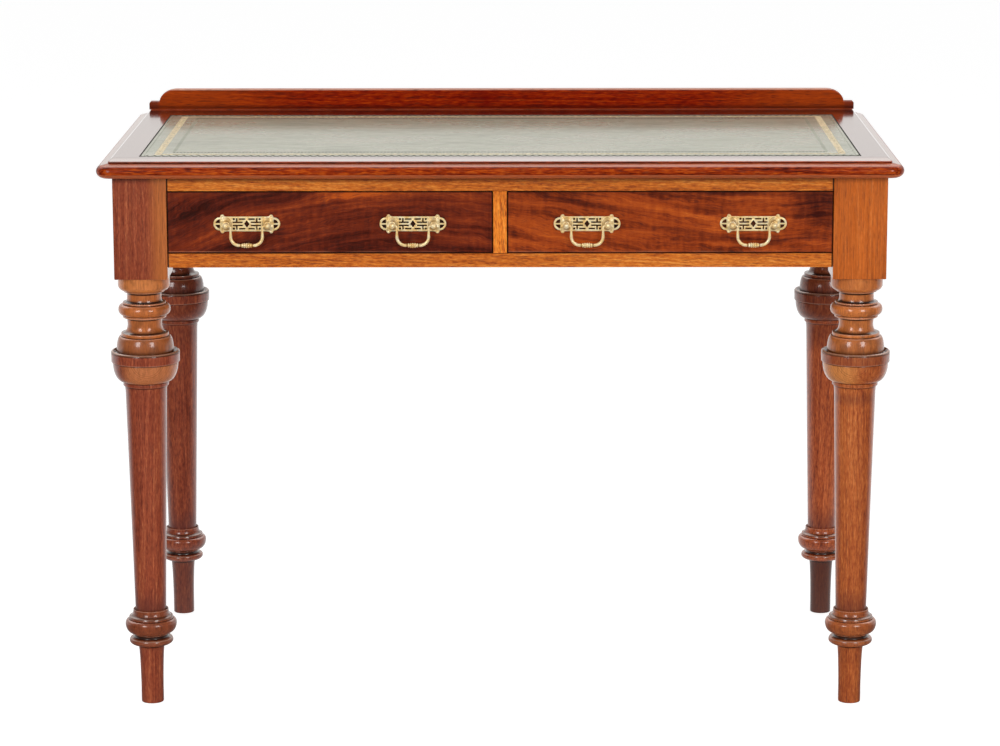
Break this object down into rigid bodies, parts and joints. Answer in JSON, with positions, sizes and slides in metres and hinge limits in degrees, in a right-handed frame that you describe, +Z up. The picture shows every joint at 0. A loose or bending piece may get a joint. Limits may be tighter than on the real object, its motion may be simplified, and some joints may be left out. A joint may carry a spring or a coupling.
{
  "type": "writing table",
  "caption": "Writing table on turned legs, with dovetailed frieze drawers on pierced brass drop handles, a leather-lined top with a rounded edge and a low gallery along the back.",
  "frame": {"origin": "on the floor, under the middle of the top", "axes": "+X to the right of a person facing the drawers, +Y towards the back gallery, +Z up; the drawers open along -Y"},
  "size_m": [1.062, 0.576, 0.7796],
  "materials": {
    "mahogany": "polished red-brown mahogany",
    "rail_mahogany": "polished light orange mahogany",
    "dark_drawer_front": "polished dark figured mahogany",
    "figured_drawer_front": "polished flame-figured mahogany",
    "lining_wood": "plain planed secondary wood",
    "leather": "sage green hide with gilt and blind tooled lines",
    "brass": "polished cast brass"
  },
  "bodies": {
    "desk": {"leg_front_left": "mahogany", "leg_front_right": "mahogany", "leg_back_left": "mahogany", "leg_back_right": "mahogany", "front_top_rail": "rail_mahogany", "front_bottom_rail": "rail_mahogany", "drawer_divider": "rail_mahogany", "side_apron_left": "mahogany", "side_apron_right": "mahogany", "back_apron": "mahogany", "runner_left": "lining_wood", "runner_centre": "lining_wood", "runner_right": "lining_wood", "guide_left": "lining_wood", "guide_centre": "lining_wood", "guide_right": "lining_wood", "kicker_left": "lining_wood", "kicker_centre": "lining_wood", "kicker_right": "lining_wood", "left_drawer_stop_left": "lining_wood", "left_drawer_stop_right": "lining_wood", "right_drawer_stop_left": "lining_wood", "right_drawer_stop_right": "lining_wood", "top_board": "mahogany", "leather_panel": "leather", "gallery": "mahogany"},
    "left_drawer": {"left_drawer_front": "dark_drawer_front", "left_drawer_side_left": "lining_wood", "left_drawer_side_right": "lining_wood", "left_drawer_back": "lining_wood", "left_drawer_bottom": "lining_wood", "left_drawer_left_backplate": "brass", "left_drawer_left_post_left": "brass", "left_drawer_left_post_right": "brass", "left_drawer_left_nut_left": "brass", "left_drawer_left_nut_right": "brass", "left_drawer_right_backplate": "brass", "left_drawer_right_post_left": "brass", "left_drawer_right_post_right": "brass", "left_drawer_right_nut_left": "brass", "left_drawer_right_nut_right": "brass"},
    "right_drawer": {"right_drawer_front": "figured_drawer_front", "right_drawer_side_left": "lining_wood", "right_drawer_side_right": "lining_wood", "right_drawer_back": "lining_wood", "right_drawer_bottom": "lining_wood", "right_drawer_left_backplate": "brass", "right_drawer_left_post_left": "brass", "right_drawer_left_post_right": "brass", "right_drawer_left_nut_left": "brass", "right_drawer_left_nut_right": "brass", "right_drawer_right_backplate": "brass", "right_drawer_right_post_left": "brass", "right_drawer_right_post_right": "brass", "right_drawer_right_nut_left": "brass", "right_drawer_right_nut_right": "brass"},
    "left_drawer_left_bail": {"left_drawer_left_bail": "brass"},
    "left_drawer_right_bail": {"left_drawer_right_bail": "brass"},
    "right_drawer_left_bail": {"right_drawer_left_bail": "brass"},
    "right_drawer_right_bail": {"right_drawer_right_bail": "brass"}
  },
  "joints": [
    {"name": "left_drawer_slide", "type": "slide", "parent": "desk", "child": "left_drawer", "axis": [0, -1, 0], "range_m": [0, 0.33]},
    {"name": "right_drawer_slide", "type": "slide", "parent": "desk", "child": "right_drawer", "axis": [0, -1, 0], "range_m": [0, 0.33]},
    {"name": "left_drawer_left_bail_hinge", "type": "hinge", "parent": "left_drawer", "child": "left_drawer_left_bail", "pos_m": [-0.33375, -0.2771, 0.662], "axis": [-1, 0, 0], "range_deg": [-10, 100]},
    {"name": "left_drawer_right_bail_hinge", "type": "hinge", "parent": "left_drawer", "child": "left_drawer_right_bail", "pos_m": [-0.11475, -0.2771, 0.662], "axis": [-1, 0, 0], "range_deg": [-10, 100]},
    {"name": "right_drawer_left_bail_hinge", "type": "hinge", "parent": "right_drawer", "child": "right_drawer_left_bail", "pos_m": [0.11475, -0.2771, 0.662], "axis": [-1, 0, 0], "range_deg": [-10, 100]},
    {"name": "right_drawer_right_bail_hinge", "type": "hinge", "parent": "right_drawer", "child": "right_drawer_right_bail", "pos_m": [0.33375, -0.2771, 0.662], "axis": [-1, 0, 0], "range_deg": [-10, 100]}
  ]
}
